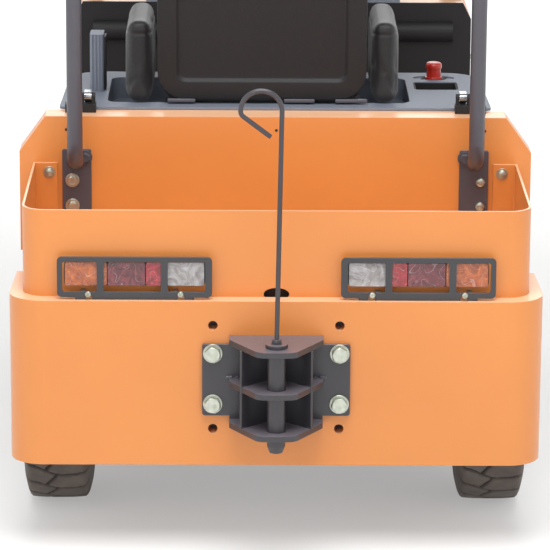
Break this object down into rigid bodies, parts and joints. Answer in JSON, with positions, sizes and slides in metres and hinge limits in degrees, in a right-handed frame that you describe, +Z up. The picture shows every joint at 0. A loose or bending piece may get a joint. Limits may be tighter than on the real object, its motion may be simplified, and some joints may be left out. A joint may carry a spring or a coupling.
{
  "type": "baggage tow tractor",
  "caption": "Sit-on electric tow tractor with a wrap-round rear bumper, open rear tray, pin tow coupling, tipping seat deck, canopy and steered front wheels.",
  "frame": {"origin": "on the ground, in the middle of the machine's length and width", "axes": "+X to the right seen from behind, +Y forward, +Z up"},
  "size_m": [1.126, 2.183, 2],
  "materials": {
    "orange_paint": "satin enamel",
    "frame_paint": "satin black enamel",
    "coupling_paint": "satin dark grey enamel",
    "post_paint": "satin grey powder coat",
    "grey_moulding": "fine leather grain moulding",
    "roof_moulding": "gel coat",
    "black_plastic": "moulded",
    "seat_vinyl": "grained vinyl",
    "tyre_rubber": "matt rubber",
    "rim_paint": "satin enamel",
    "amber_lens": "clear moulded",
    "red_lens": "clear moulded",
    "stop_lens": "clear moulded",
    "clear_lens": "clear moulded",
    "red_plastic": "moulded",
    "bright_metal": "polished plate",
    "cast_housing": "painted casting"
  },
  "bodies": {
    "chassis": {"chassis_frame": "frame_paint", "rear_bumper": "orange_paint", "rear_tray": "orange_paint", "rear_bulkhead": "orange_paint", "side_panel_left": "orange_paint", "side_panel_right": "orange_paint", "seat_box": "orange_paint", "floor_plate": "frame_paint", "front_cowl": "orange_paint", "front_bumper": "frame_paint", "toe_board": "black_plastic", "front_mudguards": "black_plastic", "tail_lens_stop": "stop_lens", "dashboard": "grey_moulding", "steering_column": "black_plastic", "headlamps": "clear_lens", "tail_lamp_bases": "black_plastic", "tail_lens_amber": "amber_lens", "tail_lens_red": "red_lens", "tail_lens_clear": "clear_lens", "lamp_guards": "frame_paint", "tow_coupling": "coupling_paint", "canopy_frame": "post_paint", "canopy_roof": "roof_moulding", "battery": "black_plastic", "drive_axle": "cast_housing", "front_axle": "cast_housing", "hinge_blocks": "black_plastic", "pedals": "black_plastic"},
    "deck": {"seat_deck": "grey_moulding", "seat_frame": "frame_paint", "seat_cushion": "seat_vinyl", "seat_back": "seat_vinyl", "hip_pads": "seat_vinyl", "emergency_stop": "red_plastic", "deck_lever": "grey_moulding", "hinge_leaves": "bright_metal"},
    "knuckle_left": {"knuckle_left": "cast_housing"},
    "knuckle_right": {"knuckle_right": "cast_housing"},
    "wheel_rear_left": {"tyre_rear_left": "tyre_rubber", "rim_rear_left": "rim_paint"},
    "wheel_rear_right": {"tyre_rear_right": "tyre_rubber", "rim_rear_right": "rim_paint"},
    "wheel_front_left": {"tyre_front_left": "tyre_rubber", "rim_front_left": "rim_paint"},
    "wheel_front_right": {"tyre_front_right": "tyre_rubber", "rim_front_right": "rim_paint"},
    "tie_rod": {"tie_rod": "cast_housing"},
    "steering_wheel": {"steering_wheel": "black_plastic"},
    "tow_pin": {"tow_pin": "coupling_paint"}
  },
  "joints": [
    {"name": "steer_left", "type": "hinge", "parent": "chassis", "child": "knuckle_left", "pos_m": [-0.38, 0.7315, 0.23], "axis": [0, 0, 1], "range_deg": [-35, 35]},
    {"name": "steer_right", "type": "hinge", "parent": "chassis", "child": "knuckle_right", "pos_m": [0.38, 0.7315, 0.23], "axis": [0, 0, 1], "range_deg": [-35, 35]},
    {"name": "wheel_rear_left_spin", "type": "hinge", "parent": "chassis", "child": "wheel_rear_left", "pos_m": [-0.474, -0.5585, 0.23], "axis": [1, 0, 0], "continuous": true},
    {"name": "wheel_rear_right_spin", "type": "hinge", "parent": "chassis", "child": "wheel_rear_right", "pos_m": [0.474, -0.5585, 0.23], "axis": [1, 0, 0], "continuous": true},
    {"name": "wheel_front_left_spin", "type": "hinge", "parent": "knuckle_left", "child": "wheel_front_left", "pos_m": [-0.474, 0.7315, 0.23], "axis": [1, 0, 0], "continuous": true},
    {"name": "wheel_front_right_spin", "type": "hinge", "parent": "knuckle_right", "child": "wheel_front_right", "pos_m": [0.474, 0.7315, 0.23], "axis": [1, 0, 0], "continuous": true},
    {"name": "tie_rod_swing", "type": "hinge", "parent": "knuckle_left", "child": "tie_rod", "pos_m": [-0.36, 0.6215, 0.18], "axis": [0, 0, 1], "range_deg": [-35, 35]},
    {"name": "steering_wheel_turn", "type": "hinge", "parent": "chassis", "child": "steering_wheel", "pos_m": [0, 0.3715, 1.15], "axis": [0, -0.5878, 0.809], "range_deg": [-420, 420]},
    {"name": "deck_hinge", "type": "hinge", "parent": "chassis", "child": "deck", "pos_m": [0, -0.4325, 0.876], "axis": [1, 0, 0], "range_deg": [0, 60]},
    {"name": "tow_pin_lift", "type": "slide", "parent": "chassis", "child": "tow_pin", "axis": [0, 0, 1], "range_m": [0, 0.205]}
  ],
  "couplings": [
    {"joint": "steer_right", "follows": "steer_left", "ratio": 1},
    {"joint": "tie_rod_swing", "follows": "steer_left", "ratio": -1},
    {"joint": "steering_wheel_turn", "follows": "steer_left", "ratio": 12}
  ]
}
